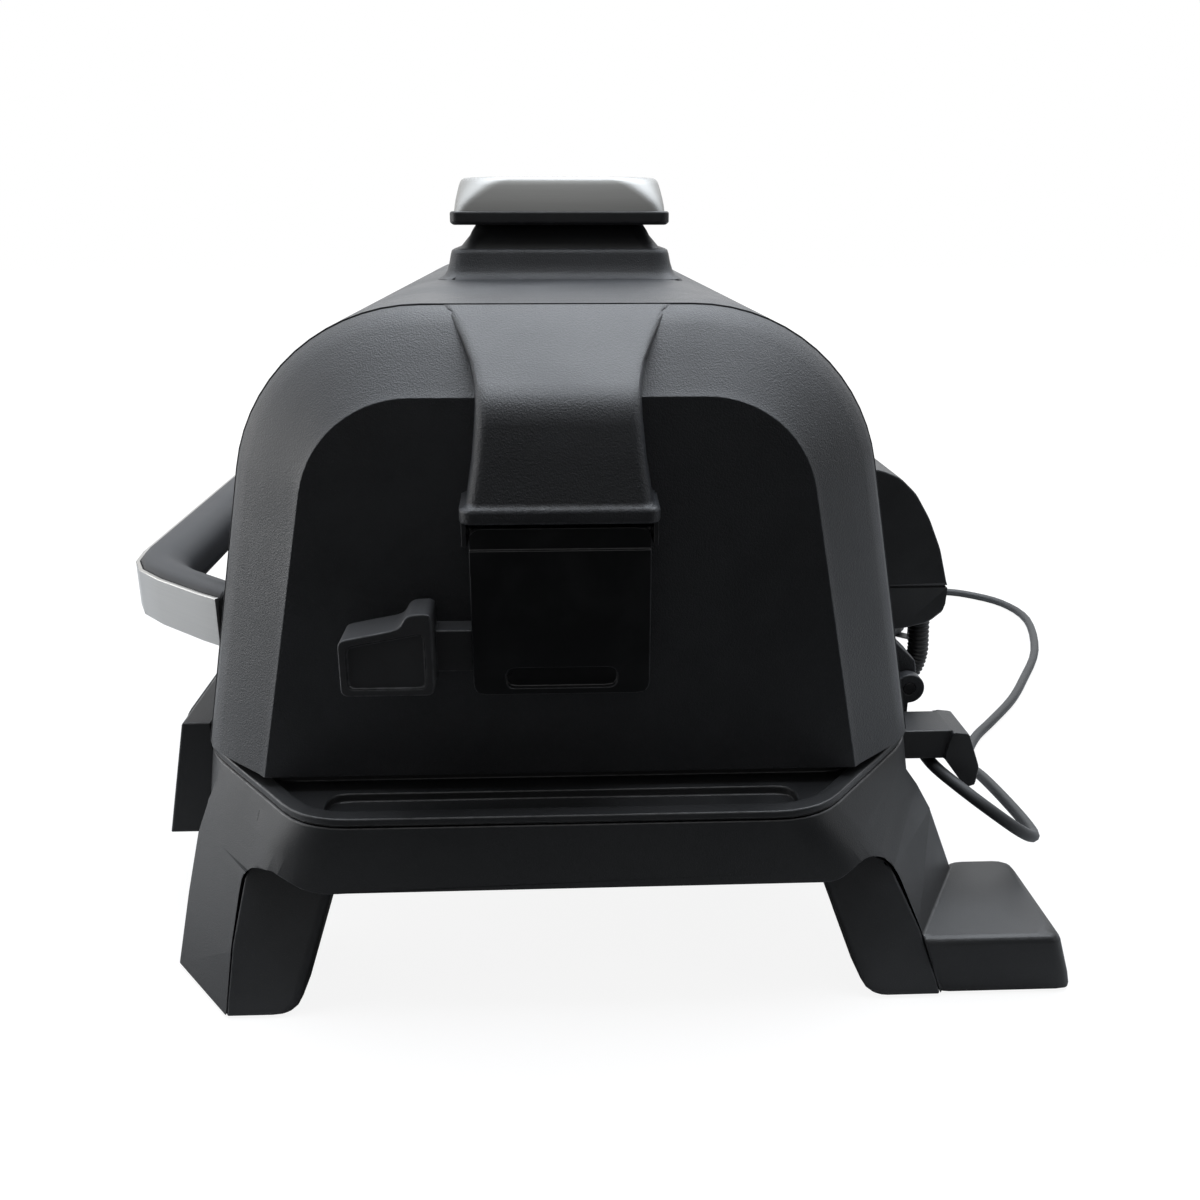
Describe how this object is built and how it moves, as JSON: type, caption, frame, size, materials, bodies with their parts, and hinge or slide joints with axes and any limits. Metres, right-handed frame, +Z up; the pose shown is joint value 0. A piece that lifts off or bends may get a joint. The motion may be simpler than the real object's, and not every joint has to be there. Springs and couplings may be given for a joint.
{
  "type": "electric outdoor grill",
  "caption": "Table-top electric grill and smoker with a domed hinged lid, an end smoke box with a pellet flap, a steel-capped vent tower, front controls and a slide-out grease tray.",
  "frame": {"origin": "bottom centre of the box round the grill, without its lead, on the floor under the foot pads", "axes": "+Z up, the controls and handle face -Y, the smoke box is at the +X end"},
  "size_m": [0.6, 0.5917, 0.3402],
  "materials": {
    "base_plastic": "fine-textured matte moulding",
    "lid_paint": "fine-grained satin charcoal paint",
    "end_paint": "satin near-black paint",
    "black_plastic": "matte black moulding",
    "gloss_black": "semi-gloss black moulding",
    "lens": "polished smoked window",
    "stainless": "brushed stainless steel",
    "zinc": "plain zinc-coated steel",
    "dark_steel": "blackened steel",
    "soft_grey": "soft-touch grey moulding",
    "rubber_black": "matte black rubber",
    "enamel": "semi-gloss black enamel",
    "grate_coat": "non-stick coated casting",
    "element_steel": "heat-dulled steel sheath",
    "board": "green circuit board",
    "motor_grey": "plain grey paint",
    "braid": "black braided sleeve"
  },
  "bodies": {
    "base": {"base_skirt": "base_plastic", "base_rim": "base_plastic", "leg_covers": "base_plastic", "foot_pads": "rubber_black", "bottom_pan": "enamel", "cooking_well": "enamel", "control_housing": "black_plastic", "control_face": "gloss_black", "display_lens": "lens", "control_board": "board", "dial_bezel": "stainless", "hinge_brackets": "lid_paint", "hinge_pins": "dark_steel", "cord_cleats": "base_plastic", "cord_gland": "rubber_black", "power_cord": "rubber_black", "cord_coil": "rubber_black", "coil_tie": "black_plastic", "plug_body": "rubber_black", "plug_pins": "zinc", "conduit_socket": "black_plastic", "wiring_conduit": "braid", "base_screws": "zinc"},
    "lid": {"lid_knuckles": "lid_paint", "lid_shell": "lid_paint", "end_cap_right": "end_paint", "end_cap_left": "end_paint", "smoke_hood": "end_paint", "lid_liner": "stainless", "lid_seal": "rubber_black", "vent_neck": "lid_paint", "vent_collar": "black_plastic", "cap_rim": "black_plastic", "steel_cap": "stainless", "handle_grip": "soft_grey", "handle_strip": "stainless", "rear_housing": "base_plastic", "heating_element": "element_steel", "element_clips": "zinc", "fan_guard": "zinc", "fan_motor": "motor_grey", "motor_plate": "zinc", "smoke_box": "stainless", "igniter_rod": "element_steel", "flap_brackets": "black_plastic", "flap_pin": "dark_steel"},
    "fan": {"fan_wheel": "zinc"},
    "flap": {"smoke_flap": "gloss_black", "flap_tab": "soft_grey"},
    "grate": {"grill_grate": "grate_coat"},
    "tray": {"grease_tray": "stainless"},
    "dial": {"dial": "gloss_black"},
    "button_temp_up": {"button_temp_up": "soft_grey"},
    "button_temp_down": {"button_temp_down": "soft_grey"},
    "button_time_up": {"button_time_up": "soft_grey"},
    "button_time_down": {"button_time_down": "soft_grey"},
    "button_smoke": {"button_smoke": "soft_grey"},
    "button_start": {"button_start": "soft_grey"}
  },
  "joints": [
    {"name": "lid_hinge", "type": "hinge", "parent": "base", "child": "lid", "pos_m": [0, 0.162, 0.1], "axis": [-1, 0, 0], "range_deg": [0, 80], "deforming": ["wiring_conduit"]},
    {"name": "flap_hinge", "type": "hinge", "parent": "lid", "child": "flap", "pos_m": [0.289, -0.0095, 0.2105], "axis": [0, -1, 0], "range_deg": [0, 70], "stiffness_Nm_per_rad": 0.03, "springref_deg": -40.11},
    {"name": "fan_spin", "type": "hinge", "parent": "lid", "child": "fan", "pos_m": [0, -0.0095, 0.27], "axis": [0, 0, 1], "continuous": true},
    {"name": "tray_slide", "type": "slide", "parent": "base", "child": "tray", "axis": [0, 1, 0], "range_m": [0, 0.11]},
    {"name": "grate_lift", "type": "slide", "parent": "base", "child": "grate", "axis": [0, 0, 1], "range_m": [0, 0.06]},
    {"name": "dial_turn", "type": "hinge", "parent": "base", "child": "dial", "pos_m": [-0.116, -0.1902, 0.0715], "axis": [0, -0.9803, 0.1977], "range_deg": [-135, 135]},
    {"name": "press_temp_up", "type": "slide", "parent": "base", "child": "button_temp_up", "axis": [0, 0.9803, -0.1977], "range_m": [0, 0.0012], "stiffness_N_per_m": 900, "springref_m": -0.0004},
    {"name": "press_temp_down", "type": "slide", "parent": "base", "child": "button_temp_down", "axis": [0, 0.9803, -0.1977], "range_m": [0, 0.0012], "stiffness_N_per_m": 900, "springref_m": -0.0004},
    {"name": "press_time_up", "type": "slide", "parent": "base", "child": "button_time_up", "axis": [0, 0.9803, -0.1977], "range_m": [0, 0.0012], "stiffness_N_per_m": 900, "springref_m": -0.0004},
    {"name": "press_time_down", "type": "slide", "parent": "base", "child": "button_time_down", "axis": [0, 0.9803, -0.1977], "range_m": [0, 0.0012], "stiffness_N_per_m": 900, "springref_m": -0.0004},
    {"name": "press_smoke", "type": "slide", "parent": "base", "child": "button_smoke", "axis": [0, 0.9803, -0.1977], "range_m": [0, 0.0012], "stiffness_N_per_m": 900, "springref_m": -0.0004},
    {"name": "press_start", "type": "slide", "parent": "base", "child": "button_start", "axis": [0, 0.9803, -0.1977], "range_m": [0, 0.0012], "stiffness_N_per_m": 900, "springref_m": -0.0004}
  ]
}
